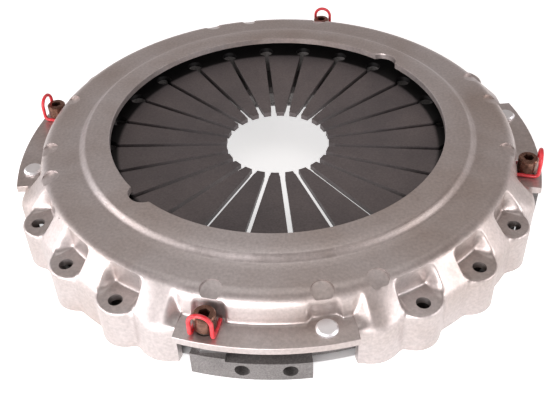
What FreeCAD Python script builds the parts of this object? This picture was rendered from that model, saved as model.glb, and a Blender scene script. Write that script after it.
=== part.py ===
"""Truck clutch cover assembly: pressed cover, slotted diaphragm spring, cast pressure plate,
leaf straps, lug screws in spacer sleeves and wire transport clips.

Frame: millimetres, +Z along the clutch axis towards the release side, origin on the axis in the
plane of the skirt's lower edge. The four strap tabs lie on +X, +Y, -X and -Y.
"""
import FreeCAD, Part
import math
import os

import Sketcher
from FreeCAD import Placement, Rotation, Vector

DOC = FreeCAD.newDocument("clutch_cover")

# Driving dimensions: name, value in millimetres or degrees, what it is
SIZES = [
    ("sheet", 6.0, "thickness of the cover's steel sheet"),
    ("skirt_radius", 237.5, "outermost point of the bolt lobes and strap tabs"),
    ("top_height", 64.5, "upper face of the inner tier above the skirt's lower edge"),
    ("ledge_height", 37.0, "upper face of the bolt ledges and strap tabs"),
    ("valley_depth", 8.0, "from the lobes in to the skirt's wall between them"),
    ("valley_round", 5.0, "rounding between lobes and valleys"),
    ("lobe_round", 20.0, "radius of a lobe about its own centre"),
    ("heel_round", 24.0, "radius of the lobe at each foot end"),
    ("heel_setback", 3.0, "from the bolt lobes in to the foot ends"),
    ("heel_angle", 21.0, "angle of a foot end's lobe from the tab's middle"),
    ("ledge_bevel", 3.0, "bevel of the skirt's upper edge"),
    ("wall_setback", 21.0, "from the lobes in to the foot of the crown's wall"),
    ("wall_draft", 3.5, "from the foot of that wall in to the shoulder"),
    ("fold_bevel", 2.5, "concave bevel between the crown's wall and the ledges"),
    ("shoulder_round", 12.0, "outer rounding of the shoulder"),
    ("tier_width", 34.0, "from the shoulder in to the step between the two tiers"),
    ("step_width", 6.0, "width of the slope between the tiers"),
    ("step_drop", 5.0, "height between the two tiers"),
    ("inner_tier_width", 21.2, "from the step in to the central opening"),
    ("notch_radius", 14.0, "round notches in the opening"),
    ("notch_depth", 8.2, "from the opening out to the end of a notch"),
    ("pocket_setback", 27.0, "from the lobes in to the upright wall of a bolt pocket"),
    ("pocket_half_width", 16.0, "half of a bolt pocket's width"),
    ("seat_setback", 25.0, "from the tabs' edge in to the wall beside a rivet or screw"),
    ("seat_half_width", 12.0, "half of the width of that wall"),
    ("cheek_foot_round", 15.0, "radius of the ridge from shoulder to foot end, at the foot"),
    ("flank_top_setback", 1.1, "from the shoulder's corner in to the flanks' upper edge"),
    ("flank_top_drop", 4.3, "from the outer tier down to the flanks' upper edge"),
    ("cheek_foot_setback", 15.5, "from the lobes in to the ridge's lower end"),
    ("cheek_foot_drop", 13.0, "from the ledges down to the ridge's lower end"),
    ("cheek_top_setback", 10.3, "from the shoulder in to the ridge's upper end"),
    ("tab_half_angle", 16.0, "half of a strap tab's angle"),
    ("window_margin", 0.5, "angle by which the window under a tab is wider on each side"),
    ("bolt_edge", 12.5, "from the lobes in to the circle of the fixing holes"),
    ("bolt_hole_radius", 5.5, "fixing holes"),
    ("bolt_pitch", 15.0, "angle between neighbouring fixing holes of one foot"),
    ("coin_setback", 4.5, "from the shoulder in to the circle of the round punch marks"),
    ("coin_radius", 7.5, "round punch marks"),
    ("coin_depth", 5.0, "from the outer tier down to the floor of the punch marks"),
    ("spring_tip_radius", 47.8, "circle of the spring's finger tips"),
    ("spring_setback", 13.0, "from the shoulder in to the spring's outer edge"),
    ("spring_rise", 10.2, "rise of the spring from tips to outer edge"),
    ("spring_thickness", 4.8, "thickness of the diaphragm spring"),
    ("spring_turn", -0.8, "angle by which the spring's slots are turned"),
    ("slot_width", 4.4, "slots between the spring's fingers"),
    ("tip_gap", 5.4, "gap between two finger tips"),
    ("tip_length", 3.5, "length of the narrowed finger tips"),
    ("slot_inset", 51.0, "from the spring's outer edge in to the ends of its slots"),
    ("keyhole_radius", 7.5, "round window at the end of a slot"),
    ("finger_count", 24.0, "fingers of the diaphragm spring"),
    ("fulcrum_inset", 4.0, "from the spring's outer edge in to the fulcrum wire"),
    ("fulcrum_wire_radius", 2.2, "fulcrum wire"),
    ("ring_clearance", 0.05, "gap between fulcrum wire, cover and spring"),
    ("plate_clearance", 6.5, "gap between the plate's rim and the skirt"),
    ("plate_face_width", 96.0, "width of the friction face"),
    ("plate_face_height", 1.0, "friction face above the skirt's lower edge"),
    ("plate_thickness", 18.0, "body of the pressure plate"),
    ("ridge_inset", 30.0, "from the spring's outer edge in to the ridge that carries it"),
    ("ridge_half_width", 5.0, "half of the ridge's width"),
    ("ridge_clearance", 0.3, "gap between ridge and spring"),
    ("ridge_gap_half_width", 9.0, "half of an air gap in the ridge"),
    ("ridge_gap_count", 12.0, "air gaps in the ridge"),
    ("rim_groove_depth", 5.0, "step in the plate's upper face"),
    ("lug_setback", 0.5, "from the tabs' edge in to a drive lug's outer face"),
    ("lug_bottom", 2.0, "underside of a drive lug"),
    ("lug_thickness", 17.5, "drive lug"),
    ("lug_start_angle", -13.3, "first side of a lug from the tab's middle"),
    ("lug_end_angle", 8.0, "second side of a lug from the tab's middle"),
    ("pad_rise", 3.0, "raised seat of the straps on a lug"),
    ("pad_end_angle", -7.0, "second side of the raised seat"),
    ("balance_radius", 5.5, "balance drillings in the front lug"),
    ("balance_depth", 12.0, "depth of the balance drillings"),
    ("balance_rise", 9.5, "from the lug's underside up to the balance drillings"),
    ("balance_first_angle", -4.4, "one balance drilling from the front tab's middle"),
    ("balance_second_angle", 4.4, "other balance drilling from the front tab's middle"),
    ("strap_edge", 13.5, "from the tabs' edge in to the circle of screws and rivets"),
    ("strap_end_angle", 11.0, "angle of a strap's ends from the tab's middle"),
    ("leaf_thickness", 1.2, "one strap leaf"),
    ("leaf_half_width", 10.0, "half of a strap leaf's width"),
    ("leaf_flat", 13.0, "flat length at each end of a leaf, measured from its hole"),
    ("leaf_corner", 6.0, "bevel of a leaf's corners"),
    ("rivet_head_radius", 8.2, "strap rivet's upper head"),
    ("rivet_head_height", 3.0, "strap rivet's heads"),
    ("rivet_shank_radius", 4.0, "strap rivet's shank"),
    ("rivet_tail_radius", 7.0, "strap rivet's lower head"),
    ("hole_clearance", 0.1, "gap between a shank and its hole"),
    ("screw_head_radius", 8.5, "lug screw's head"),
    ("screw_head_height", 11.9, "lug screw's head"),
    ("screw_edge", 1.0, "bevel of the lug screw's head"),
    ("screw_shank_radius", 5.0, "lug screw's shank"),
    ("screw_socket_flats", 8.0, "hexagon socket across its flats"),
    ("screw_socket_depth", 7.0, "hexagon socket"),
    ("screw_grip", 14.0, "thread length in the lug"),
    ("sleeve_wall", 1.4, "wall of the spacer sleeve"),
    ("tab_bore_clearance", 1.0, "gap between spacer sleeve and tab"),
    ("clip_wire_radius", 1.6, "transport clip's wire"),
    ("clip_clearance", 0.2, "gap between clip wire, tab and screw head"),
    ("clip_leg_clearance", 0.3, "gap between a clip's leg and the sleeve"),
    ("clip_setback", 4.0, "from the tabs' edge in to the upright loop of a clip"),
    ("clip_rise", 9.5, "from the screw's head up to the top of the loop"),
    ("clip_bend", 3.5, "bend from leg to loop"),
]

# Sizes that follow from those: name, formula, what it is
TIED = [
    ("valley_radius", "skirt_radius - valley_depth", "outer wall of the skirt between two lobes"),
    ("heel_reach", "skirt_radius - heel_setback", "outermost point of a foot end"),
    ("wall_base_radius", "skirt_radius - wall_setback", "foot of the crown's wall"),
    ("shoulder_radius", "wall_base_radius - wall_draft", "corner of the crown before rounding"),
    ("tier_height", "top_height - step_drop", "upper face of the outer tier"),
    ("wall_slope", "wall_draft / (tier_height - ledge_height)", "how far the wall leans in"),
    ("flank_top_radius", "shoulder_radius - flank_top_setback", "upper edge of the flanks"),
    ("flank_top_height", "tier_height - flank_top_drop", "height of that edge"),
    ("flank_foot_height", "ledge_height - ledge_bevel", "lower edge of the flanks"),
    ("flank_run", "valley_radius - flank_top_radius", "width of a flank"),
    ("flank_fall", "flank_top_height - flank_foot_height", "height of a flank"),
    ("flank_length", "sqrt(flank_run * flank_run + flank_fall * flank_fall)", "along its slope"),
    ("lobe_side_angle", "acos((valley_radius * valley_radius + (skirt_radius - lobe_round)"
     " * (skirt_radius - lobe_round) - lobe_round * lobe_round)"
     " / (2 * valley_radius * (skirt_radius - lobe_round))) / 1deg", "half of a lobe at the valleys"),
    ("heel_side_angle", "acos((valley_radius * valley_radius + (heel_reach - heel_round)"
     " * (heel_reach - heel_round) - heel_round * heel_round)"
     " / (2 * valley_radius * (heel_reach - heel_round))) / 1deg", "half of a foot end there"),
    ("narrow_valley", "valley_radius * tan((45 - bolt_pitch - heel_angle - lobe_side_angle"
     " - heel_side_angle) * 1deg)", "width of the valley between a foot end and the next lobe"),
    ("valley_fillet", "min(valley_round; 0.92 * narrow_valley)", "rounding that fits that valley"),
    ("step_end_radius", "shoulder_radius - tier_width", "where the outer tier starts"),
    ("step_start_radius", "step_end_radius - step_width", "where the inner tier ends"),
    ("opening_radius", "step_start_radius - inner_tier_width", "central opening"),
    ("pocket_wall_radius", "skirt_radius - pocket_setback", "inner wall of a bolt pocket"),
    ("seat_wall_radius", "skirt_radius - seat_setback", "wall beside a rivet or screw"),
    ("window_half_angle", "tab_half_angle + window_margin", "half of a window's angle"),
    ("bolt_circle_radius", "skirt_radius - bolt_edge", "circle of the fixing holes"),
    ("coin_circle_radius", "shoulder_radius - coin_setback", "circle of the punch marks"),
    ("roof_height", "tier_height - sheet", "underside of the outer tier"),
    ("spring_outer_radius", "shoulder_radius - spring_setback", "spring's outer edge"),
    ("fulcrum_radius", "spring_outer_radius - fulcrum_inset", "circle of the fulcrum wire"),
    ("fulcrum_corner", "fulcrum_wire_radius / cos(22.5deg)", "wire's middle to its eight corners"),
    ("spring_touch_radius", "fulcrum_radius + fulcrum_wire_radius * tan(22.5deg)",
     "where the spring comes nearest to the fulcrum wire"),
    ("spring_slope", "spring_rise / (spring_outer_radius - spring_tip_radius)", "cone of the spring"),
    ("spring_tip_height", "roof_height - 2 * fulcrum_wire_radius - 2 * ring_clearance"
     " - spring_slope * (spring_touch_radius - spring_tip_radius)", "spring's upper face at its tips"),
    ("slot_end_radius", "spring_outer_radius - slot_inset", "outer end of the slots"),
    ("ridge_radius", "spring_outer_radius - ridge_inset", "circle of the plate's ridge"),
    ("plate_outer_radius", "valley_radius - sheet - plate_clearance", "rim of the plate"),
    ("plate_inner_radius", "plate_outer_radius - plate_face_width", "bore of the plate"),
    ("plate_back_height", "plate_face_height + plate_thickness", "upper face of the plate"),
    ("lug_radius", "skirt_radius - lug_setback", "outer face of a drive lug"),
    ("lug_top", "lug_bottom + lug_thickness", "upper face of a drive lug"),
    ("pad_top", "lug_top + pad_rise", "seat of the straps on a lug"),
    ("strap_circle_radius", "skirt_radius - strap_edge", "circle of screws and rivets"),
    ("strap_reach", "strap_circle_radius * sin(strap_end_angle * 1deg)", "half of a strap's pitch"),
    ("strap_roof", "ledge_height - sheet", "underside of a tab"),
    ("sleeve_bore_radius", "screw_shank_radius + hole_clearance", "bore of the spacer sleeve"),
    ("sleeve_radius", "sleeve_bore_radius + sleeve_wall", "spacer sleeve"),
    ("tab_bore_radius", "sleeve_radius + tab_bore_clearance", "tab's hole for the sleeve"),
    ("head_seat", "ledge_height + 2 * clip_wire_radius + 2 * clip_clearance", "under the screw's head"),
    ("head_top", "head_seat + screw_head_height", "top of the screw's head"),
    ("clip_level", "ledge_height + clip_clearance + clip_wire_radius", "middle of a clip's legs"),
    ("clip_half_width", "sleeve_radius + clip_wire_radius + clip_leg_clearance", "legs' half distance"),
    ("clip_loop_radius", "skirt_radius - clip_setback", "upright loop of a clip"),
    ("clip_inner_radius", "strap_circle_radius - screw_head_radius", "inner ends of a clip's legs"),
]

# Faces round a wire, degrees per straight piece of a clip's loop, and mitred corners in a sweep
WIRE_FACES = 8
CLIP_BEND_STEP = 30
MITRED = 1

TABS = (("right", 0), ("rear", 90), ("left", 180), ("front", 270))


def make_sheet():
    """Spreadsheet that drives every other object."""
    sheet = DOC.addObject("Spreadsheet::Sheet", "Sizes")
    tied = [(name, "=" + formula, note) for name, formula, note in TIED]
    for row, (name, value, note) in enumerate(SIZES + tied, start=1):
        sheet.set("A%d" % row, str(value))
        sheet.set("B%d" % row, note)
        sheet.setAlias("A%d" % row, name)
        DOC.recompute()
    return sheet


SHEET = make_sheet()


def size(name):
    """Value of one driving dimension."""
    return float(getattr(SHEET, name))


def cells(expression):
    """Expression with every driving dimension written as its spreadsheet cell."""
    words = []
    word = ""
    for letter in expression + " ":
        if letter.isalnum() or letter == "_":
            word += letter
            continue
        words.append("Sizes." + word if word in SIZE_NAMES else word)
        words.append(letter)
        word = ""
    return "".join(words).strip()


SIZE_NAMES = {name for name, value, note in SIZES + TIED}


def value_of(expression):
    """Number that an expression gives now."""
    result = SHEET.evalExpression(cells(expression))
    return float(getattr(result, "Value", result))


def bind(thing, path, expression):
    """Drive one property from the spreadsheet."""
    thing.setExpression(path, cells(expression))


def new_body(label):
    body = DOC.addObject("PartDesign::Body", label)
    body.Label = label
    return body


def origin_feature(body, role):
    return next(item for item in body.Origin.OriginFeatures if item.Role == role)


def new_sketch(body, name, role="XY_Plane", lift=None, turn=None):
    """Sketch on one of the body's own planes, lifted or turned by driving dimensions."""
    sketch = body.newObject("Sketcher::SketchObject", name)
    sketch.AttachmentSupport = (origin_feature(body, role), "")
    sketch.MapMode = "FlatFace"
    if turn is not None:
        upright = Vector(0, 0, 1) if role == "XY_Plane" else Vector(0, 1, 0)
        sketch.AttachmentOffset = Placement(Vector(), Rotation(upright, 1))
        bind(sketch, "AttachmentOffset.Rotation.Angle", turn)
    if lift is not None:
        bind(sketch, "AttachmentOffset.Base.z", lift)
    return sketch


def pin_point(sketch, element, point, across, up):
    """Hold one point of a sketch at two bound distances from its origin."""
    for kind, expression in (("DistanceX", across), ("DistanceY", up)):
        number = value_of(expression)
        if expression.strip() == "0":
            axis = -2 if kind == "DistanceX" else -1
            sketch.addConstraint(Sketcher.Constraint("PointOnObject", element, point, axis))
            continue
        index = sketch.addConstraint(Sketcher.Constraint(kind, -1, 1, element, point, number))
        bind(sketch, "Constraints[%d]" % index, expression)


def add_polygon(sketch, corners):
    """Closed outline whose corners are pairs of expressions."""
    places = [Vector(value_of(across), value_of(up), 0) for across, up in corners]
    first = sketch.GeometryCount
    count = len(corners)
    for number, place in enumerate(places):
        sketch.addGeometry(Part.LineSegment(place, places[(number + 1) % count]), False)
    for number, (across, up) in enumerate(corners):
        before = first + (number - 1) % count
        sketch.addConstraint(Sketcher.Constraint("Coincident", before, 2, first + number, 1))
        pin_point(sketch, first + number, 1, across, up)


def add_circle(sketch, radius, across, up):
    """Circle whose radius and centre are expressions."""
    centre = Vector(value_of(across), value_of(up), 0)
    circle = Part.Circle(centre, Vector(0, 0, 1), value_of(radius))
    element = sketch.addGeometry(circle, False)
    index = sketch.addConstraint(Sketcher.Constraint("Radius", element, value_of(radius)))
    bind(sketch, "Constraints[%d]" % index, radius)
    pin_point(sketch, element, 3, across, up)


def add_polar_circle(sketch, radius, reach, angle):
    """Circle whose centre lies at a distance and an angle from the axis."""
    add_circle(sketch, radius, "(%s) * cos((%s) * 1deg)" % (reach, angle),
               "(%s) * sin((%s) * 1deg)" % (reach, angle))


def add_rectangle(sketch, across, up):
    """Rectangle between two distances across and two up, given as pairs of expressions."""
    add_polygon(sketch, [(across[0], up[0]), (across[1], up[0]), (across[1], up[1]), (across[0], up[1])])


def turned(corners, angle):
    """Corners turned about the origin by an angle in degrees."""
    return [("(%s) * cos((%s) * 1deg) - (%s) * sin((%s) * 1deg)" % (across, angle, up, angle),
             "(%s) * sin((%s) * 1deg) + (%s) * cos((%s) * 1deg)" % (across, angle, up, angle))
            for across, up in corners]


def revolve(body, name, sketch, span=None, both_ways=True):
    """Turn a sketch about the body's upright axis, all round or through an angle."""
    feature = body.newObject("PartDesign::Revolution", name)
    feature.Profile = sketch
    feature.ReferenceAxis = (sketch, ["V_Axis"])
    if span is not None:
        feature.Midplane = both_ways
        bind(feature, "Angle", span)
    return feature


def groove(body, name, sketch, span):
    """Cut by turning a sketch both ways about the body's upright axis."""
    feature = body.newObject("PartDesign::Groove", name)
    feature.Profile = sketch
    feature.ReferenceAxis = (sketch, ["V_Axis"])
    feature.Midplane = True
    bind(feature, "Angle", span)
    return feature


def pad(body, name, sketch, length):
    feature = body.newObject("PartDesign::Pad", name)
    feature.Profile = sketch
    bind(feature, "Length", length)
    return feature


def pocket(body, name, sketch, length=None, upward=False):
    """Cut a sketch through the body, or to a bound depth; upward cuts rise from the sketch."""
    feature = body.newObject("PartDesign::Pocket", name)
    feature.Profile = sketch
    feature.Reversed = upward
    if length is None:
        feature.Type = "ThroughAll"
        feature.Midplane = True
    else:
        bind(feature, "Length", length)
    return feature


def repeat_round(body, name, features, count=str(len(TABS))):
    """Copy features evenly about the upright axis."""
    pattern = body.newObject("PartDesign::PolarPattern", name)
    pattern.Originals = features
    pattern.Axis = (origin_feature(body, "Z_Axis"), [""])
    pattern.Angle = 360
    bind(pattern, "Occurrences", count)
    body.Tip = pattern
    return pattern


def bevel_edges(body, name, base, test, width):
    """Bevel the edges of a feature that pass a test."""
    DOC.recompute()
    names = edge_names(base.Shape, test)
    if not names:
        raise RuntimeError("no edges to bevel for %s" % name)
    feature = body.newObject("PartDesign::Chamfer", name)
    feature.Base = (base, names)
    bind(feature, "Size", width)
    return feature


def edge_names(shape, test):
    return ["Edge%d" % number for number, edge in enumerate(shape.Edges, start=1) if test(edge)]


def round_edges(body, name, base, test, radius):
    """Round the edges of a feature that pass a test."""
    DOC.recompute()
    if base.Shape.isNull() or "Invalid" in base.State:
        raise RuntimeError("%s failed before %s: %s" % (base.Label, name, base.State))
    names = edge_names(base.Shape, test)
    if not names:
        raise RuntimeError("no edges to round for " + name)
    feature = body.newObject("PartDesign::Fillet", name)
    feature.Base = (base, names)
    bind(feature, "Radius", radius)
    return feature


def is_level_circle(radius_expression, height_expression):
    """Test for circles about the axis at one radius and height, given as expressions."""
    radius = value_of(radius_expression)
    height = value_of(height_expression)

    def test(edge):
        curve = edge.Curve
        if not isinstance(curve, Part.Circle) or abs(curve.Axis.z) < 0.99:
            return False
        centred = math.hypot(curve.Center.x, curve.Center.y) < 0.01
        return centred and abs(curve.Radius - radius) < 0.01 and abs(curve.Center.z - height) < 0.01
    return test


def is_level_edge(height, least_radius):
    """Test for edges that lie at one height, no nearer to the axis than a radius."""
    def test(edge):
        middle = edge.valueAt((edge.FirstParameter + edge.LastParameter) / 2)
        points = [vertex.Point for vertex in edge.Vertexes] + [middle]
        return all(abs(point.z - height) < 0.01 and math.hypot(point.x, point.y) > least_radius
                   for point in points)
    return test


def is_upright_line(low_radius, high_radius):
    """Test for vertical edges that stand between two distances from the axis."""
    def test(edge):
        if len(edge.Vertexes) != 2:
            return False
        first, last = (vertex.Point for vertex in edge.Vertexes)
        if math.hypot(first.x - last.x, first.y - last.y) > 0.01 or abs(first.z - last.z) < 1:
            return False
        return low_radius < math.hypot(first.x, first.y) < high_radius
    return test


def foot_bolt_angles():
    """Expressions for the three bolt angles of the first foot."""
    return ["45 - bolt_pitch", "45", "45 + bolt_pitch"]


def strap_end_angles():
    """Expressions for the angles of the two strap ends in the first quarter."""
    return ["strap_end_angle", "90 - strap_end_angle"]


def add_skirt(body, name, inset):
    """Lobes round the bolts and at the foot ends."""
    ledge = "ledge_height - %s" % inset
    sketch = new_sketch(body, name + "_lobes_plan")
    for angle in foot_bolt_angles():
        add_polar_circle(sketch, "lobe_round - %s" % inset, "skirt_radius - lobe_round", angle)
    pad(body, name + "_lobes", sketch, ledge)
    sketch = new_sketch(body, name + "_heels_plan")
    for angle in ("heel_angle", "90 - heel_angle"):
        add_polar_circle(sketch, "heel_round - %s" % inset, "heel_reach - heel_round", angle)
    return pad(body, name + "_heels", sketch, ledge)


def round_valleys(body, base):
    """Round the corners between lobes and valleys, but not the quarter's own end faces."""
    on_valley = is_upright_line(size("valley_radius") - 0.2, size("valley_radius") + 0.2)

    def inside_quarter(edge):
        point = edge.Vertexes[0].Point
        return on_valley(edge) and min(abs(point.x), abs(point.y)) > size("sheet")
    return round_edges(body, "valleys", base, inside_quarter, "valley_fillet")


def add_flank(body, name, inset):
    """Slope from the shoulder's rounding out to the skirt, from one foot end to the other."""
    sketch = new_sketch(body, name + "_flank_profile", "XZ_Plane", turn="heel_angle")
    near = "shoulder_radius - 3 * sheet"
    outside = "valley_radius - %s" % inset
    inward = "%s * flank_fall / flank_length" % inset
    down = "%s * flank_run / flank_length" % inset
    rise = "(%s - %s) * flank_fall / flank_run" % (inset, inward)
    top = "flank_top_height - " + down
    add_polygon(sketch, [(near, "0"), (outside, "0"),
                         (outside, "flank_foot_height - %s + %s" % (down, rise)),
                         ("flank_top_radius - " + inward, top), (near, top)])
    revolve(body, name + "_flank", sketch, "90 - 2 * heel_angle", both_ways=False)


def add_cheeks(body, name, inset):
    """Round ridges that run down from the shoulder to the foot ends."""
    foot = Vector(value_of("skirt_radius - cheek_foot_setback"), 0,
                  value_of("ledge_height - cheek_foot_drop"))
    top = Vector(value_of("shoulder_radius - cheek_top_setback"), 0,
                 value_of("tier_height - shoulder_round"))
    lean = Rotation(Vector(0, 0, 1), top - foot)
    for side, angle in (("first", "heel_angle"), ("second", "90 - heel_angle")):
        turn = Rotation(Vector(0, 0, 1), value_of(angle))
        cone = body.newObject("PartDesign::AdditiveCone", "%s_%s_cheek" % (name, side))
        bind(cone, "Radius1", "cheek_foot_round - %s" % inset)
        bind(cone, "Radius2", "shoulder_round - %s" % inset)
        cone.Height = foot.distanceToPoint(top)
        cone.AttachmentSupport = [(origin_feature(body, "XY_Plane"), "")]
        cone.MapMode = "FlatFace"
        cone.AttachmentOffset = Placement(turn.multVec(foot), turn * lean)


def add_pockets(body, name, inset, kind, angles):
    """Pockets over bolts or over a tab's rivet and screw, with walls that bite into the shoulder."""
    sketch = new_sketch(body, "%s_%ss_plan" % (name, kind), lift="ledge_height - %s" % inset)
    near = "%s_wall_radius - %s" % (kind, inset)
    far = "skirt_radius + sheet"
    side = "(%s_half_width + %s)" % (kind, inset)
    for angle in angles:
        add_polygon(sketch, turned([(near, "0 - " + side), (far, "0 - " + side),
                                    (far, side), (near, side)], angle))
    return pocket(body, "%s_%ss" % (name, kind), sketch, "top_height", upward=True)


def make_outer_form():
    """Quarter of the sheet's outer face, from the middle of one tab to the middle of the next."""
    body = new_body("outer_form")
    sketch = new_sketch(body, "outer_bell_profile", "XZ_Plane")
    add_polygon(sketch, [
        ("0", "0"), ("valley_radius", "0"), ("valley_radius", "ledge_height"),
        ("wall_base_radius + fold_bevel", "ledge_height"),
        ("wall_base_radius - fold_bevel * wall_slope", "ledge_height + fold_bevel"),
        ("shoulder_radius", "tier_height"), ("step_end_radius", "tier_height"),
        ("step_start_radius", "top_height"), ("0", "top_height"),
    ])
    bell = revolve(body, "outer_bell", sketch, "90", both_ways=False)
    round_edges(body, "shoulder", bell, is_level_circle("shoulder_radius", "tier_height"),
                "shoulder_round")
    heels = add_skirt(body, "outer_form", "0")
    skirt = round_valleys(body, heels)
    rim = is_level_edge(size("ledge_height"), size("valley_radius") - 0.2)
    bevel_edges(body, "ledge_edge", skirt, rim, "ledge_bevel")
    add_flank(body, "outer_form", "0")
    add_cheeks(body, "outer_form", "0")
    add_pockets(body, "outer_form", "0", "pocket", foot_bolt_angles())
    add_pockets(body, "outer_form", "0", "seat", strap_end_angles())
    for side, angle in (("first", "0"), ("second", "90 - tab_half_angle")):
        sketch = new_sketch(body, side + "_tab_profile", "XZ_Plane", turn=angle)
        add_rectangle(sketch, ("wall_base_radius", "skirt_radius"),
                      ("ledge_height - sheet", "ledge_height"))
        revolve(body, side + "_tab", sketch, "tab_half_angle", both_ways=False)
    return body


def make_inner_form():
    """The sheet's inner face over the same quarter; its bell runs all round."""
    body = new_body("inner_form")
    bend = "(shoulder_round - sheet) / 2"
    wall = "wall_base_radius - sheet"
    shoulder = "shoulder_radius - sheet"
    sketch = new_sketch(body, "inner_bell_profile", "XZ_Plane")
    add_polygon(sketch, [
        ("0", "0"), ("valley_radius - sheet", "0"), ("valley_radius - sheet", "ledge_height - sheet"),
        (wall, "ledge_height - sheet"), (shoulder, "roof_height - %s" % bend),
        (shoulder + " - %s" % bend, "roof_height"), ("step_end_radius - sheet / 3", "roof_height"),
        ("step_start_radius - sheet / 3", "top_height - sheet"), ("0", "top_height - sheet"),
    ])
    revolve(body, "inner_bell", sketch)
    add_skirt(body, "inner_form", "sheet")
    add_flank(body, "inner_form", "sheet")
    add_cheeks(body, "inner_form", "sheet")
    add_pockets(body, "inner_form", "sheet", "pocket", foot_bolt_angles())
    add_pockets(body, "inner_form", "sheet", "seat", strap_end_angles())
    return body


def make_quarter():
    """Quarter of the cover: the sheet between the two forms, opened, pierced and punched."""
    shell = DOC.addObject("Part::Cut", "quarter_sheet")
    shell.Base = make_outer_form()
    shell.Tool = make_inner_form()
    DOC.recompute()
    body = new_body("quarter_cover")
    body.BaseFeature = shell
    DOC.recompute()
    sketch = new_sketch(body, "opening_plan")
    add_circle(sketch, "opening_radius", "0", "0")
    for angle in foot_bolt_angles():
        add_polar_circle(sketch, "bolt_hole_radius", "bolt_circle_radius", angle)
    pocket(body, "opening_and_bolt_holes", sketch)
    for side, angle in (("first", "0"), ("second", "90")):
        sketch = new_sketch(body, side + "_window_profile", "XZ_Plane", turn=angle)
        add_rectangle(sketch, ("shoulder_radius - 2 * sheet", "skirt_radius + sheet"),
                      ("0 - sheet", "ledge_height - sheet"))
        groove(body, side + "_window", sketch, "2 * window_half_angle")
    sketch = new_sketch(body, "coin_plan", lift="tier_height - coin_depth")
    for angle in ("strap_end_angle", "45 - 1.5 * bolt_pitch", "45 - bolt_pitch / 2",
                  "45 + bolt_pitch / 2", "45 + 1.5 * bolt_pitch", "90 - strap_end_angle"):
        add_polar_circle(sketch, "coin_radius", "coin_circle_radius", angle)
    pocket(body, "coins", sketch, "sheet + coin_radius", upward=True)
    return body


def mirror_and_join(source, label, normal):
    """A form joined with its mirror image about a plane through the axis."""
    image = DOC.addObject("Part::Mirroring", label + "_image")
    image.Source = source
    image.Base = Vector(0, 0, 0)
    image.Normal = normal
    joined = DOC.addObject("Part::Fuse", label)
    joined.Base = source
    joined.Tool = image
    joined.Refine = True
    return joined


def make_cover():
    """Pressed cover: four quarters, with the opening's notches and the straps' holes."""
    half = mirror_and_join(make_quarter(), "half_cover", Vector(1, 0, 0))
    whole = mirror_and_join(half, "whole_cover", Vector(0, 1, 0))
    DOC.recompute()
    body = new_body("cover")
    body.BaseFeature = whole
    DOC.recompute()
    sketch = new_sketch(body, "strap_hole_plan")
    for angle in ("45", "225"):
        add_polar_circle(sketch, "notch_radius", "opening_radius + notch_depth - notch_radius",
                         angle)
    for place, tab_angle in TABS:
        add_polar_circle(sketch, "rivet_shank_radius + hole_clearance", "strap_circle_radius",
                         "%d + strap_end_angle" % tab_angle)
        add_polar_circle(sketch, "tab_bore_radius", "strap_circle_radius",
                         "%d - strap_end_angle" % tab_angle)
    pocket(body, "notches_and_strap_holes", sketch)
    return body


def spring_height(radius):
    """Expression for the spring's upper face at a radius."""
    return "(spring_tip_height + spring_slope * (%s - spring_tip_radius))" % radius


def make_spring():
    """Diaphragm spring: a shallow cone slotted into fingers."""
    body = new_body("diaphragm_spring")
    sketch = new_sketch(body, "spring_profile", "XZ_Plane")
    tip = spring_height("spring_tip_radius")
    edge = spring_height("spring_outer_radius")
    add_polygon(sketch, [("spring_tip_radius", tip + " - spring_thickness"),
                         ("spring_outer_radius", edge + " - spring_thickness"),
                         ("spring_outer_radius", edge), ("spring_tip_radius", tip)])
    revolve(body, "spring_cone", sketch)
    half_step = "180 / finger_count + spring_turn"
    sketch = new_sketch(body, "slot_plan", turn=half_step)
    inside = "spring_tip_radius - tip_length"
    neck = "spring_tip_radius + tip_length"
    widening = "spring_tip_radius + tip_length + tip_gap / 2"
    add_polygon(sketch, [(inside, "0 - tip_gap / 2"), (neck, "0 - tip_gap / 2"),
                         (widening, "0 - slot_width / 2"), ("slot_end_radius", "0 - slot_width / 2"),
                         ("slot_end_radius", "slot_width / 2"), (widening, "slot_width / 2"),
                         (neck, "tip_gap / 2"), (inside, "tip_gap / 2")])
    slot = pocket(body, "slot", sketch)
    sketch = new_sketch(body, "keyhole_plan", turn=half_step)
    add_circle(sketch, "keyhole_radius", "slot_end_radius + keyhole_radius - slot_width / 4", "0")
    keyhole = pocket(body, "keyhole", sketch)
    repeat_round(body, "fingers", [slot, keyhole], "finger_count")
    return body


def make_fulcrum():
    """Fulcrum wire, eight-sided in section, between the cover's outer tier and the spring."""
    body = new_body("fulcrum_ring")
    sketch = new_sketch(body, "fulcrum_profile", "XZ_Plane")
    middle = "roof_height - ring_clearance - fulcrum_wire_radius"
    add_polygon(sketch, [("fulcrum_radius + fulcrum_corner * cos(%s deg)" % (22.5 + 45 * side),
                          "%s + fulcrum_corner * sin(%s deg)" % (middle, 22.5 + 45 * side))
                         for side in range(8)])
    revolve(body, "fulcrum_wire", sketch)
    return body


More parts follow.
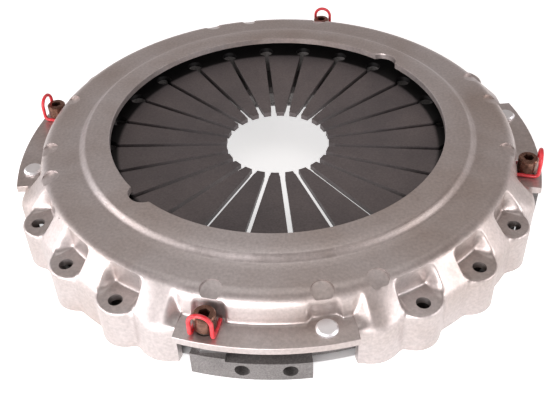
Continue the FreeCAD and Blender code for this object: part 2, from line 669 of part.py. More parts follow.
def make_plate():
    """Cast pressure plate with its spring ridge, four drive lugs and tapped holes."""
    body = new_body("pressure_plate")
    sketch = new_sketch(body, "plate_profile", "XZ_Plane")
    back = "plate_back_height"
    ridge_top = (spring_height("(ridge_radius - ridge_half_width)")
                 + " - spring_thickness - ridge_clearance")
    add_polygon(sketch, [
        ("plate_inner_radius", "plate_face_height"),
        ("plate_outer_radius", "plate_face_height"),
        ("plate_outer_radius", back + " - rim_groove_depth"),
        ("plate_outer_radius - 2 * rim_groove_depth", back),
        ("ridge_radius + 2 * ridge_half_width", back),
        ("ridge_radius + ridge_half_width", ridge_top),
        ("ridge_radius - ridge_half_width", ridge_top),
        ("ridge_radius - 2 * ridge_half_width", back),
        ("plate_inner_radius + rim_groove_depth", back),
        ("plate_inner_radius", back + " - rim_groove_depth"),
    ])
    revolve(body, "plate_disc", sketch)
    sketch = new_sketch(body, "ridge_gap_plan", lift=back, turn="180 / ridge_gap_count")
    add_rectangle(sketch, ("ridge_radius - 3 * ridge_half_width", "ridge_radius + 3 * ridge_half_width"),
                  ("0 - ridge_gap_half_width", "ridge_gap_half_width"))
    gap = pocket(body, "ridge_gap", sketch, "top_height", upward=True)
    repeat_round(body, "ridge_gaps", [gap], "ridge_gap_count")

    lug_turn = "(lug_start_angle + lug_end_angle) / 2"
    sketch = new_sketch(body, "lug_profile", "XZ_Plane", turn=lug_turn)
    add_rectangle(sketch, ("plate_outer_radius - rim_groove_depth", "lug_radius"), ("lug_bottom", "lug_top"))
    lug = revolve(body, "lug", sketch, "lug_end_angle - lug_start_angle")
    sketch = new_sketch(body, "pad_profile", "XZ_Plane",
                        turn="(lug_start_angle + pad_end_angle) / 2")
    add_rectangle(sketch, ("plate_outer_radius - rim_groove_depth", "lug_radius"), ("lug_bottom", "pad_top"))
    seat = revolve(body, "strap_seat", sketch, "pad_end_angle - lug_start_angle")
    repeat_round(body, "lugs", [lug, seat])
    sketch = new_sketch(body, "tapped_hole_plan", lift="pad_top")
    add_polar_circle(sketch, "screw_shank_radius + hole_clearance", "strap_circle_radius",
                     "0 - strap_end_angle")
    tapped = pocket(body, "tapped_hole", sketch, "screw_grip + hole_clearance")
    repeat_round(body, "tapped_holes", [tapped])
    sketch = new_sketch(body, "balance_plan", "XZ_Plane", lift="lug_radius - balance_depth")
    for angle in ("balance_first_angle", "balance_second_angle"):
        add_circle(sketch, "balance_radius", "strap_circle_radius * sin(%s * 1deg)" % angle,
                   "lug_bottom + balance_rise")
    pocket(body, "balance_drillings", sketch, "2 * balance_depth", upward=True)
    return body


def place_at(body, angle, reach, tab_angle):
    """Stand a body made on the origin at an angle from a tab's middle, on a circle about the axis."""
    turn = "(%s + %d)" % (angle, tab_angle)
    body.Placement = Placement(Vector(1, 0, 0), Rotation(Vector(0, 0, 1), 1))
    bind(body, "Placement.Base.x", "(%s) * cos(%s * 1deg)" % (reach, turn))
    bind(body, "Placement.Base.y", "(%s) * sin(%s * 1deg)" % (reach, turn))
    bind(body, "Placement.Rotation.Angle", turn)
    return body


def make_leaf(label, layer, tab_angle):
    """One strap leaf, bent down from the tab's rivet to the lug's seat; x runs towards the rivet."""
    body = new_body(label)
    low = "pad_top + %d * leaf_thickness" % layer
    high = "strap_roof - %d * leaf_thickness" % (3 - layer)
    end = "(strap_reach + leaf_half_width)"
    bend = "(strap_reach - leaf_flat)"
    sketch = new_sketch(body, label + "_profile", "XZ_Plane")
    add_polygon(sketch, [("0 - " + end, low), ("0 - " + bend, low), (bend, high), (end, high),
                         (end, high + " + leaf_thickness"), (bend, high + " + leaf_thickness"),
                         ("0 - " + bend, low + " + leaf_thickness"),
                         ("0 - " + end, low + " + leaf_thickness")])
    strip = pad(body, label + "_strip", sketch, "2 * leaf_half_width")
    strip.Midplane = True
    corner_is = is_upright_line(value_of(end), value_of(end) + 2 * size("leaf_half_width"))
    bevel_edges(body, label + "_ends", strip, corner_is, "leaf_corner")
    sketch = new_sketch(body, label + "_holes_plan")
    add_circle(sketch, "rivet_shank_radius + hole_clearance", "strap_reach", "0")
    add_circle(sketch, "screw_shank_radius + hole_clearance", "0 - strap_reach", "0")
    pocket(body, label + "_holes", sketch)
    body.Placement = Placement(Vector(1, 0, 0), Rotation(Vector(0, 0, 1), 1))
    middle = "strap_circle_radius * cos(strap_end_angle * 1deg)"
    bind(body, "Placement.Base.x", "%s * cos(%d deg)" % (middle, tab_angle))
    bind(body, "Placement.Base.y", "%s * sin(%d deg)" % (middle, tab_angle))
    bind(body, "Placement.Rotation.Angle", "%d" % (tab_angle + 90))
    return body


def make_rivet(label, tab_angle):
    """Strap rivet: low head on the tab, shank through the leaves, closed head below."""
    body = new_body(label)
    sketch = new_sketch(body, label + "_profile", "XZ_Plane")
    under = "strap_roof - 3 * leaf_thickness"
    tail = "(%s - rivet_head_height)" % under
    crown = "ledge_height + rivet_head_height"
    add_polygon(sketch, [
        ("0", tail),
        ("rivet_tail_radius", tail),
        ("rivet_tail_radius", under),
        ("rivet_shank_radius", under),
        ("rivet_shank_radius", "ledge_height"),
        ("rivet_head_radius", "ledge_height"),
        ("rivet_head_radius", "ledge_height + rivet_head_height / 2"),
        ("rivet_head_radius - rivet_head_height / 2", crown),
        ("0", crown),
    ])
    revolve(body, label + "_turned", sketch)
    return place_at(body, "strap_end_angle", "strap_circle_radius", tab_angle)


def make_screw(label, tab_angle):
    """Lug screw: socket head above the tab, shank through the sleeve into the lug."""
    body = new_body(label)
    sketch = new_sketch(body, label + "_profile", "XZ_Plane")
    add_polygon(sketch, [
        ("0", "pad_top - screw_grip"),
        ("screw_shank_radius", "pad_top - screw_grip"),
        ("screw_shank_radius", "head_seat"),
        ("screw_head_radius", "head_seat"),
        ("screw_head_radius", "head_top - screw_edge"),
        ("screw_head_radius - screw_edge", "head_top"),
        ("0", "head_top"),
    ])
    revolve(body, label + "_turned", sketch)
    sketch = new_sketch(body, label + "_socket_plan", lift="head_top")
    corner = "screw_socket_flats / sqrt(3)"
    add_polygon(sketch, [("%s * cos(%d deg)" % (corner, 60 * side),
                          "%s * sin(%d deg)" % (corner, 60 * side)) for side in range(6)])
    pocket(body, label + "_socket", sketch, "screw_socket_depth")
    return place_at(body, "0 - strap_end_angle", "strap_circle_radius", tab_angle)


def make_sleeve(label, tab_angle):
    """Spacer sleeve between the screw's head and the leaves, free in the tab's bore."""
    body = new_body(label)
    sketch = new_sketch(body, label + "_profile", "XZ_Plane")
    add_rectangle(sketch, ("sleeve_bore_radius", "sleeve_radius"),
                  ("pad_top + 3 * leaf_thickness", "head_seat"))
    revolve(body, label + "_tube", sketch)
    return place_at(body, "0 - strap_end_angle", "strap_circle_radius", tab_angle)


def make_clip(label, tab_angle):
    """Transport clip: one wire, two legs under the screw's head and an upright loop outside."""
    radius = size("clip_wire_radius")
    side = size("clip_half_width")
    bend = size("clip_bend")
    level = size("clip_level")
    loop = size("clip_loop_radius")
    spring_line = size("head_top") + size("clip_rise") - radius - side
    lean = bend * (1 - math.sqrt(0.5))
    leg = [(size("clip_inner_radius"), level), (loop - bend, level), (loop - lean, level + lean),
           (loop, level + bend)]
    points = [Vector(across, side, up) for across, up in leg]
    for angle in range(0, 181, CLIP_BEND_STEP):
        turn = math.radians(angle)
        points.append(Vector(loop, side * math.cos(turn), spring_line + side * math.sin(turn)))
    points += [Vector(across, -side, up) for across, up in reversed(leg)]
    half_face = 180 / WIRE_FACES
    corners = []
    for number in range(WIRE_FACES):
        turn = math.radians((2 * number + 1) * half_face)
        corners.append(points[0] + Vector(0, radius * math.cos(turn), radius * math.sin(turn)))
    path = Part.makePolygon(points)
    section = Part.makePolygon(corners + corners[:1])
    clip = DOC.addObject("Part::Feature", label)
    clip.Shape = path.makePipeShell([section], True, False, MITRED)
    turn = tab_angle - size("strap_end_angle")
    clip.Placement = Placement(Vector(), Rotation(Vector(0, 0, 1), turn))
    return clip


def make_parts():
    """Every separate piece of the assembly, in the order in which it is stacked."""
    parts = [make_cover(), make_spring(), make_fulcrum(), make_plate()]
    for place, tab_angle in TABS:
        for layer, level in enumerate(("lower", "middle", "upper")):
            parts.append(make_leaf("strap_%s_%s" % (place, level), layer, tab_angle))
        parts.append(make_rivet("strap_rivet_" + place, tab_angle))
        parts.append(make_screw("lug_screw_" + place, tab_angle))
        parts.append(make_sleeve("spacer_sleeve_" + place, tab_angle))
        parts.append(make_clip("transport_clip_" + place, tab_angle))
    return parts


def check_document(parts):
    """Stop if an object failed to compute or a part isn't one valid solid."""
    DOC.recompute()
    for item in DOC.Objects:
        if "Invalid" in item.State or "Error" in item.State:
            raise RuntimeError("%s failed: %s" % (item.Label, item.State))
    for part in parts:
        shape = part.Shape
        if shape.isNull() or not shape.isValid() or len(shape.Solids) != 1:
            raise RuntimeError("%s isn't one valid solid" % part.Label)


def export_parts(parts):
    os.makedirs("parts", exist_ok=True)
    for part in parts:
        part.Shape.exportStep("parts/%s.step" % part.Label)


PARTS = make_parts()
check_document(PARTS)
export_parts(PARTS)
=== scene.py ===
"""Looks of the truck clutch cover assembly: camera, lights, floor, finishes, finer pieces."""
import math

import bmesh
import bpy
from mathutils import Matrix, Vector


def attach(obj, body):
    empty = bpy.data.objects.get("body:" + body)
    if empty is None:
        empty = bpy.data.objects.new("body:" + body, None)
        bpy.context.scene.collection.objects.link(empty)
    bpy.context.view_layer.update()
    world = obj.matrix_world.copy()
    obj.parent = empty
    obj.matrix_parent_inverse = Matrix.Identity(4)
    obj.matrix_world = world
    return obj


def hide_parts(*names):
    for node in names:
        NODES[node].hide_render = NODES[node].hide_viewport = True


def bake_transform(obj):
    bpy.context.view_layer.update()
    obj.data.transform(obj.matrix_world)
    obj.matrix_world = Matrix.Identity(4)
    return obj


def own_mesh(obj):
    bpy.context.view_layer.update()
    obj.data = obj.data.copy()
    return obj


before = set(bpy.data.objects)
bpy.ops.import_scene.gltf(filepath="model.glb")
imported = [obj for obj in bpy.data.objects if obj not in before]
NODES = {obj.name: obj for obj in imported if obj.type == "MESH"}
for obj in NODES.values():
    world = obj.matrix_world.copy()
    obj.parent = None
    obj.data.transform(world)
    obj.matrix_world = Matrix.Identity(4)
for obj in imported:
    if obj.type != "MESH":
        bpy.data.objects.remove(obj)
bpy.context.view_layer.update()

MM = 0.001
SCENE = bpy.context.scene
TABS = {"right": 0, "rear": 90, "left": 180, "front": 270}

# Photograph: image size in pixels, and the viewpoint that fits its fixing holes and clips
IMAGE_WIDTH = 555
IMAGE_HEIGHT = 400
FOCAL_PIXELS = 748.07
CENTRE_COLUMN = 277.75
CENTRE_ROW = 142.28
CAMERA_ELEVATION = 36.479
CAMERA_DISTANCE = 701.94
CAMERA_ROLL = -1.976
CAMERA_TURN = 3.286

# Sizes of the cover in millimetres and degrees, as in the model's source
SHEET = 6.0
TOP = 64.5
LEDGE = 37.0
SKIRT = 237.5
VALLEY = 229.5
LOBE_ROUND = 20.0
HEEL_ROUND = 24.0
HEEL_REACH = 234.5
HEEL_ANGLE = 21.0
WALL_FOOT = 216.5
POCKET_WALL = 210.5
SEAT_WALL = 212.5
SEAT_HALF = 3.1
SHOULDER_ROUND = 12.0
STEP_START = 173.0
STEP_WIDTH = 6.0
STEP_DROP = 5.0
TIER = TOP - STEP_DROP
OPENING = 151.8
NOTCH = 14.0
NOTCH_REACH = 160.0
BOLT_ANGLES = (30, 45, 60)
BOLT_CIRCLE = 225.0
BOLT_HOLE = 5.5
BOLT_PUNCH = (20.0, 45.0)
TAB_HALF = 16.0
WINDOW_HALF = 16.5
STRAP_ANGLE = 11.0
STRAP_CIRCLE = 224.0
STRAP_PUNCH = (28.0, 40.0)
RIVET_BORE = 4.1
TAB_BORE = 7.5
FLANK_FOOT = 34.0

# Coins: round flats sunk into the shoulder, with their angles from a tab's middle and their radii
COINS = ((11, 8.5), (22.5, 8.5), (37.5, 6.5), (52.5, 5.5), (79, 8.5))
COIN_CIRCLE = 206.0
COIN_LEVEL = 59.0
COIN_TILT = 16.0
COIN_DEPTH = 0.4
COIN_DEPTH_PER_RADIUS = 0.25
COIN_PUNCH = 12.0

# Sizes of the strap leaves and transport clips
LEAF = 1.2
LEAF_SEAT = 22.5
LEAF_HALF = 10.0
LEAF_FLAT = 13.0
LEAF_CORNER = 6.0
LEAF_STEPS = 24
LEAVES = ("lower", "middle", "upper")
STRAP_REACH = STRAP_CIRCLE * math.sin(math.radians(STRAP_ANGLE))
STRAP_MIDDLE = STRAP_CIRCLE * math.cos(math.radians(STRAP_ANGLE))
CLIP_WIRE = 1.6
CLIP_GAP = 0.2
CLIP_SIDE = 8.4
CLIP_BEND = 3.5
CLIP_TOP = 62.0
CLIP_INNER = 215.5
CLIP_LOOP = 233.5
CLIP_BEND_STEPS = 6
CLIP_LOOP_STEPS = 20

# Centre of the shoulder's rounding, and the wall's upper edge where it leaves that rounding
SHOULDER = (202.7, TIER - SHOULDER_ROUND)
WALL_TOP = 214.5
# The inner face's step starts further in, the outer face's is softened at both ends, and the level
# stretch after it ends just short of the shoulder's rounding
STEP_START_INSIDE = STEP_START - 2.0
STEP_SOFT = 1.0
SHOULDER_LEAD = 1.0
# Reach of the pressed sheet's soft bends; the inner face has tighter ones
WALL_FOOT_BEND = 3.0
TAB_EDGE_BEND = 0.9
LEDGE_EDGE_BEND = 3.2
LEDGE_EDGE_BEND_INSIDE = 0.2
FLANK_FOOT_BEND = 5.0
FLANK_FOOT_BEND_INSIDE = 0.4
OPENING_BEND = 2.0
OPENING_CORNER = 0.5
# How softly the rim's circles blend, and the span in degrees of each other change of form
RIM_BLEND = 0.7
TAB_END = (0.1, 0.5)
FLANK_START = (-0.3, 3.2)
SEAT_SIDE = 0.5
POCKET_HALF = 4.1
POCKET_SIDE = 0.9
WALL_CHANGE = 3
# Steps along a section; a flank takes as many as the wall, fold and ledge in whose place it stands
STEP_STEPS = 8
ROUND_STEPS = 9
WALL_STEPS = 3
FOLD_STEPS = 5
LEDGE_STEPS = 4
EDGE_STEPS = 6
SKIRT_STEPS = 6
FLANK_STEPS = WALL_STEPS + FOLD_STEPS + LEDGE_STEPS
# Steps in degrees between the sections of an eighth, and where they stand closer
EIGHTH = 45.0
WIDE_STEP = 0.5
CLOSE_STEP = 0.2
CLOSE_ANGLES = ((14.5, 19.5), (24.5, 27.5), (32.5, 35.5), (39.5, 42.5))
# Edges between faces that meet at more than this stay sharp, in degrees
SHEET_SHARP = 42
LEAF_SHARP = 40

# Floor in metres; it glows under the opening and from just inside the skirt outwards, a painted
# glow, and is dark between as painted shade under the part, so that the fixing holes look dark
FLOOR_REACH = 4.0
FLOOR_SINK = 0.0005
FLOOR_PAINTED_GLOW = 0.62
PAINTED_SHADE_RING_INNER = 0.118
PAINTED_SHADE_RING_OUTER = 0.222

# Colours and places of the lights
SOFT_WHITE = (1.0, 0.98, 1.0)
SKY_STRENGTH = 0.75
SKY = ((0.0, (1.0, 0.98, 1.0)), (0.30, (0.92, 0.88, 0.90)), (0.50, (0.43, 0.375, 0.345)),
       (0.85, (0.30, 0.26, 0.25)))
LIGHT_TARGET = (0, 0, 0.02)
LIGHTS = (("front_soft", (-0.45, -1.35, 0.35), LIGHT_TARGET, (1.3, 0.5), 18, SOFT_WHITE),
          ("left_soft", (-1.3, -0.35, 0.45), LIGHT_TARGET, (0.9, 0.5), 7, SOFT_WHITE),
          ("right_soft", (1.3, -0.5, 0.5), LIGHT_TARGET, (0.9, 0.5), 7, SOFT_WHITE),
          ("top_soft", (0, 0.3, 1.6), (0, 0, 0), (1.4, 1.4), 4.5, (1, 1, 1)))
# Radii in metres between which the spring's colour falls to black, a painted shade under the cover's
# edge
SPRING_PAINTED_SHADE_BAND = (0.1455, 0.1485)


def place_camera():
    """Camera at the photograph's viewing angle, aimed at the axis in the ledges' plane."""
    camera = bpy.data.cameras.new("camera")
    camera.sensor_width = 36.0
    camera.lens = FOCAL_PIXELS / IMAGE_WIDTH * camera.sensor_width
    camera.shift_x = (IMAGE_WIDTH / 2 - CENTRE_COLUMN) / IMAGE_WIDTH
    camera.shift_y = (CENTRE_ROW - IMAGE_HEIGHT / 2) / IMAGE_WIDTH
    camera.clip_start = 0.01
    holder = bpy.data.objects.new("camera", camera)
    SCENE.collection.objects.link(holder)
    raised = math.radians(CAMERA_ELEVATION)
    turn = Matrix.Rotation(math.radians(CAMERA_TURN), 4, "Z")
    tilt = Matrix.Rotation(math.pi / 2 - raised, 4, "X")
    roll = Matrix.Rotation(math.radians(CAMERA_ROLL), 4, "Z")
    back = Vector((0, -math.cos(raised), math.sin(raised))) * CAMERA_DISTANCE * MM
    holder.matrix_world = (Matrix.Translation((0, 0, LEDGE * MM)) @ turn @ Matrix.Translation(back)
                           @ tilt @ roll)
    SCENE.camera = holder


def area_light(name, place, target, size, power, tint):
    lamp = bpy.data.lights.new(name, "AREA")
    lamp.shape = "RECTANGLE"
    lamp.size, lamp.size_y = size
    lamp.energy = power
    lamp.color = tint
    holder = bpy.data.objects.new(name, lamp)
    SCENE.collection.objects.link(holder)
    holder.location = place
    holder.rotation_euler = (Vector(target) - Vector(place)).to_track_quat("-Z", "Y").to_euler()


def place_lights():
    """Plain studio: a graded sky and four soft lamps."""
    SCENE.view_settings.view_transform = "Standard"
    SCENE.view_settings.look = "None"
    world = bpy.data.worlds.new("studio")
    SCENE.world = world
    world.use_nodes = True
    tree = world.node_tree
    sky = tree.nodes["Background"]
    sky.inputs["Strength"].default_value = SKY_STRENGTH
    # a bright horizon below a dim, slightly warm ceiling, as in a light tent
    place = tree.nodes.new("ShaderNodeTexCoord")
    parts = tree.nodes.new("ShaderNodeSeparateXYZ")
    tree.links.new(place.outputs["Generated"], parts.inputs["Vector"])
    ramp = tree.nodes.new("ShaderNodeValToRGB")
    tree.links.new(parts.outputs["Z"], ramp.inputs["Fac"])
    points = ramp.color_ramp.elements
    while len(points) < len(SKY):
        points.new(0.5)
    for point, (position, colour) in zip(points, SKY):
        point.position = position
        point.color = colour + (1,)
    tree.links.new(ramp.outputs["Color"], sky.inputs["Color"])
    for light in LIGHTS:
        area_light(*light)


def place_floor():
    """Pale floor: a painted glow, left off in a ring of painted shade under the part."""
    mesh = bpy.data.meshes.new("floor")
    corners = [(across * FLOOR_REACH, deep * FLOOR_REACH, 0)
               for across, deep in ((-1, -1), (1, -1), (1, 1), (-1, 1))]
    mesh.from_pydata(corners, [], [(0, 1, 2, 3)])
    floor = add_piece("floor", mesh)
    floor.location.z = -FLOOR_SINK
    material = bpy.data.materials.new("floor")
    material.use_nodes = True
    tree = material.node_tree
    shader = tree.nodes["Principled BSDF"]
    shader.inputs["Base Color"].default_value = (0.93, 0.93, 0.93, 1)
    shader.inputs["Roughness"].default_value = 0.9
    shader.inputs["Emission Color"].default_value = (1, 1, 1, 1)

    def maths(operation, source, value=None):
        node = tree.nodes.new("ShaderNodeMath")
        node.operation = operation
        tree.links.new(source, node.inputs[0])
        if value is not None:
            node.inputs[1].default_value = value
        return node
    place = tree.nodes.new("ShaderNodeTexCoord")
    radius = tree.nodes.new("ShaderNodeVectorMath")
    radius.operation = "LENGTH"
    tree.links.new(place.outputs["Object"], radius.inputs[0])
    # Painted shade: the floor glows only inside the first radius and outside the second, so a ring
    # under the part stays dark
    inner = maths("LESS_THAN", radius.outputs["Value"], PAINTED_SHADE_RING_INNER)
    outer = maths("GREATER_THAN", radius.outputs["Value"], PAINTED_SHADE_RING_OUTER)
    both = maths("ADD", inner.outputs[0])
    tree.links.new(outer.outputs[0], both.inputs[1])
    glow = maths("MULTIPLY", both.outputs[0], FLOOR_PAINTED_GLOW)
    tree.links.new(glow.outputs[0], shader.inputs["Emission Strength"])
    mesh.materials.append(material)


class Finish:
    """A material under construction, with short calls for the nodes it needs."""

    def __init__(self, name, metallic, roughness):
        self.material = bpy.data.materials.new(name)
        self.material.use_nodes = True
        self.tree = self.material.node_tree
        self.shader = self.tree.nodes["Principled BSDF"]
        self.shader.inputs["Metallic"].default_value = metallic
        self.shader.inputs["Roughness"].default_value = roughness
        self.place = self.add("ShaderNodeTexCoord").outputs["Object"]

    def add(self, kind, **values):
        node = self.tree.nodes.new(kind)
        for key, value in values.items():
            setattr(node, key, value)
        return node

    def link(self, start, end):
        self.tree.links.new(start, end)

    def noise(self, scale, detail):
        node = self.add("ShaderNodeTexNoise")
        node.inputs["Scale"].default_value = scale
        node.inputs["Detail"].default_value = detail
        node.inputs["Roughness"].default_value = 0.55
        self.link(self.place, node.inputs["Vector"])
        return node.outputs["Fac"]

    def ramp(self, source, stops):
        """Colour ramp; each stop is (position, colour or grey)."""
        node = self.add("ShaderNodeValToRGB")
        points = node.color_ramp.elements
        while len(points) < len(stops):
            points.new(0.5)
        for point, (position, colour) in zip(points, stops):
            point.position = position
            point.color = (colour if isinstance(colour, tuple) else (colour,) * 3) + (1,)
        self.link(source, node.inputs["Fac"])
        return node.outputs["Color"]

    def mix(self, factor, first, second, mode="MIX"):
        node = self.add("ShaderNodeMix", data_type="RGBA", blend_type=mode)
        for value, socket in ((factor, node.inputs["Factor"]), (first, node.inputs["A"]),
                              (second, node.inputs["B"])):
            if isinstance(value, bpy.types.NodeSocket):
                self.link(value, socket)
            else:
                socket.default_value = value + (1,) if isinstance(value, tuple) else value
        return node.outputs["Result"]

    def bump(self, height, strength, distance):
        node = self.add("ShaderNodeBump")
        node.inputs["Strength"].default_value = strength
        node.inputs["Distance"].default_value = distance
        self.link(height, node.inputs["Height"])
        self.link(node.outputs["Normal"], self.shader.inputs["Normal"])

    def colour(self, output):
        self.link(output, self.shader.inputs["Base Color"])

    def roughness(self, output):
        self.link(output, self.shader.inputs["Roughness"])


def cover_finish():
    """Bare pressed sheet: soft satin grey with faint brown stains and fine grain."""
    finish = Finish("cover_steel", metallic=0.85, roughness=0.36)
    stains = finish.ramp(finish.noise(9, 5), [(0.42, 0.0), (0.72, 1.0)])
    base = finish.mix(stains, (0.57, 0.518, 0.505), (0.45, 0.375, 0.34))
    grain = finish.ramp(finish.noise(420, 2), [(0.3, 0.86), (0.7, 1.06)])
    finish.colour(finish.mix(1.0, base, grain, "MULTIPLY"))
    finish.roughness(finish.ramp(finish.noise(60, 4), [(0.3, 0.36), (0.7, 0.47)]))
    finish.bump(finish.noise(900, 2), 0.12, 0.0004)
    return finish.material


def spring_finish():
    """Hardened spring steel: dark and oiled, with painted shade that turns it black where it runs
    under the cover.
    """
    finish = Finish("spring_steel", metallic=0.6, roughness=0.42)
    patches = finish.ramp(finish.noise(14, 4), [(0.35, 0.0), (0.7, 1.0)])
    base = finish.mix(patches, (0.125, 0.110, 0.112), (0.175, 0.150, 0.148))
    # Painted shade: past a radius the colour falls to near black, standing in for the shade under
    # the cover's edge
    flat = finish.add("ShaderNodeVectorMath", operation="MULTIPLY")
    flat.inputs[1].default_value = (1, 1, 0)
    finish.link(finish.place, flat.inputs[0])
    reach = finish.add("ShaderNodeVectorMath", operation="LENGTH")
    finish.link(flat.outputs[0], reach.inputs[0])
    painted_shade_fade = finish.add("ShaderNodeMapRange")
    painted_shade_fade.inputs["From Min"].default_value, painted_shade_fade.inputs["From Max"].default_value = SPRING_PAINTED_SHADE_BAND
    finish.link(reach.outputs["Value"], painted_shade_fade.inputs["Value"])
    base = finish.mix(painted_shade_fade.outputs["Result"], base, (0.012, 0.011, 0.011))
    grain = finish.ramp(finish.noise(600, 2), [(0.3, 0.85), (0.7, 1.15)])
    finish.colour(finish.mix(1.0, base, grain, "MULTIPLY"))
    finish.roughness(finish.ramp(finish.noise(45, 3), [(0.3, 0.38), (0.7, 0.52)]))
    finish.bump(finish.noise(700, 2), 0.1, 0.0003)
    return finish.material


def iron_finish():
    """Grey cast iron with its sand-cast grain, kept dark: its own tone, deepened as painted shade
    for a plate that lies under the cover.
    """
    finish = Finish("plate_iron", metallic=0.55, roughness=0.55)
    patches = finish.ramp(finish.noise(22, 4), [(0.3, 0.0), (0.7, 1.0)])
    # Dark greys: the iron's own tone, deepened as painted shade under the cover
    base = finish.mix(patches, (0.155, 0.145, 0.14), (0.23, 0.215, 0.21))
    grain = finish.ramp(finish.noise(900, 3), [(0.35, 0.75), (0.65, 1.2)])
    finish.colour(finish.mix(1.0, base, grain, "MULTIPLY"))
    finish.bump(finish.noise(700, 3), 0.35, 0.0006)
    return finish.material


def steel_finish(name, dark, light, roughness, scale=60):
    """Plain steel whose colour drifts between two shades."""
    finish = Finish(name, metallic=0.9, roughness=roughness)
    patches = finish.ramp(finish.noise(scale, 4), [(0.35, 0.0), (0.7, 1.0)])
    finish.colour(finish.mix(patches, dark, light))
    finish.roughness(finish.ramp(finish.noise(scale * 3, 3),
                                 [(0.3, roughness - 0.06), (0.7, roughness + 0.08)]))
    finish.bump(finish.noise(1200, 2), 0.1, 0.0002)
    return finish.material


def paint_finish():
    """Red paint on the clips, worn a little paler in places."""
    finish = Finish("clip_red", metallic=0.0, roughness=0.32)
    patches = finish.ramp(finish.noise(180, 4), [(0.45, 0.0), (0.75, 1.0)])
    finish.colour(finish.mix(patches, (0.60, 0.025, 0.035), (0.72, 0.09, 0.10)))
    finish.bump(finish.noise(900, 2), 0.15, 0.0002)
    return finish.material


def dress(piece, material):
    piece.data.materials.clear()
    piece.data.materials.append(material)


def dress_all():
    """Finishes by the start of a node's name, put on every node."""
    finishes = {
        "cover": cover_finish(),
        "diaphragm_spring": spring_finish(),
        "pressure_plate": iron_finish(),
        "fulcrum_ring": steel_finish("wire_steel", (0.30, 0.29, 0.28), (0.42, 0.41, 0.40), 0.35),
        "strap": steel_finish("strap_steel", (0.36, 0.35, 0.35), (0.50, 0.49, 0.48), 0.36),
        # Rivet heads near white: a painted highlight standing in for the glint on their heads
        "strap_rivet": steel_finish("rivet_steel", (0.88, 0.87, 0.88), (0.97, 0.96, 0.97), 0.40),
        "lug_screw": steel_finish("screw_steel", (0.15, 0.075, 0.055), (0.30, 0.165, 0.12), 0.30,
                                  220),
        "spacer_sleeve": steel_finish("sleeve_steel", (0.16, 0.12, 0.10), (0.28, 0.23, 0.20), 0.42,
                                      200),
        "transport_clip": paint_finish(),
    }
    for name in NODES:
        family = max((key for key in finishes if name.startswith(key)), key=len)
        dress(NODES[name], finishes[family])
    return finishes


def ease(low, high, value):
    """Smooth rise from 0 to 1 as a value goes from one limit to the other."""
    share = min(1.0, max(0.0, (value - low) / (high - low)))
    return share * share * (3 - 2 * share)


def far_side(angle, centre_angle, reach, radius):
    """How far out a circle goes on a ray from the axis; 0 where the ray misses it."""
    centre = reach - radius
    turn = math.radians(angle - centre_angle)
    inside = radius ** 2 - (centre * math.sin(turn)) ** 2
    return centre * math.cos(turn) + math.sqrt(inside) if inside > 0 else 0.0


def arc(centre, radius, start, stop, steps):
    """Points on an arc in a section, from one direction in degrees to another."""
    turns = [math.radians(start + (stop - start) * step / steps) for step in range(steps + 1)]
    return [(centre[0] + radius * math.cos(turn), centre[1] + radius * math.sin(turn))
            for turn in turns]


def line(start, stop, steps):
    """Points on a straight run in a section, without its first."""
    return [(start[0] + (stop[0] - start[0]) * step / steps,
             start[1] + (stop[1] - start[1]) * step / steps) for step in range(1, steps + 1)]


def bend(start, corner, stop, steps):
    """Points on a soft corner in a section, without its first."""
    points = []
    for step in range(1, steps + 1):
        t = step / steps
        points.append(tuple((1 - t) ** 2 * a + 2 * t * (1 - t) * b + t * t * c
                            for a, b, c in zip(start, corner, stop)))
    return points


def rim_radius(tab):
    """Outline of the skirt and tabs, by the angle from the nearest tab's middle."""
    sides = [VALLEY, far_side(tab, HEEL_ANGLE, HEEL_REACH, HEEL_ROUND)]
    sides += [far_side(tab, bolt, SKIRT, LOBE_ROUND) for bolt in BOLT_ANGLES]
    soft = math.log(sum(math.exp(RIM_BLEND * (side - VALLEY)) for side in sides)) / RIM_BLEND
    on_tab = ease(TAB_HALF + TAB_END[1], TAB_HALF + TAB_END[0], tab)
    return VALLEY + soft + (SKIRT - VALLEY - soft) * on_tab


def slope_share(tab):
    """1 where the sheet slopes from shoulder to skirt, 0 where it has a level ledge."""
    pockets = [ease(POCKET_HALF + POCKET_SIDE, POCKET_HALF - POCKET_SIDE, abs(tab - bolt))
               for bolt in BOLT_ANGLES]
    return ease(TAB_HALF + FLANK_START[0], TAB_HALF + FLANK_START[1], tab) * (1 - max(pockets))


def wall_radius(tab):
    """Upper edge and foot of the upright wall behind a ledge."""
    seat = ease(SEAT_HALF + SEAT_SIDE, SEAT_HALF - SEAT_SIDE, abs(tab - STRAP_ANGLE))
    pocket = ease(TAB_HALF, TAB_HALF + WALL_CHANGE, tab)
    top = WALL_TOP + (SEAT_WALL - WALL_TOP) * seat
    foot = WALL_FOOT + (SEAT_WALL - WALL_FOOT) * seat
    return top + (POCKET_WALL - top) * pocket, foot + (POCKET_WALL - foot) * pocket


def ledge_section(tab, rim, inset, bottom):
    """Section from the shoulder's rounding to the sheet's lower edge, with a level ledge."""
    top, foot = wall_radius(tab)
    top, foot, rim, level = top - inset, foot - inset, rim - inset, LEDGE - inset
    radius = SHOULDER_ROUND - inset
    end = math.degrees(math.acos(max(-1.0, min(1.0, (top - SHOULDER[0]) / radius))))
    points = arc(SHOULDER, radius, 90, end, ROUND_STEPS)
    points += line(points[-1], (foot, level + WALL_FOOT_BEND), WALL_STEPS)
    points += bend(points[-1], (foot, level), (foot + WALL_FOOT_BEND, level), FOLD_STEPS)
    edge = TAB_EDGE_BEND if tab < TAB_HALF - FLANK_START[0] else LEDGE_EDGE_BEND
    edge = LEDGE_EDGE_BEND_INSIDE if inset else edge
    points += line(points[-1], (rim - edge, level), LEDGE_STEPS)
    points += bend(points[-1], (rim, level), (rim, level - edge), EDGE_STEPS)
    return points + line(points[-1], (rim, bottom), SKIRT_STEPS)


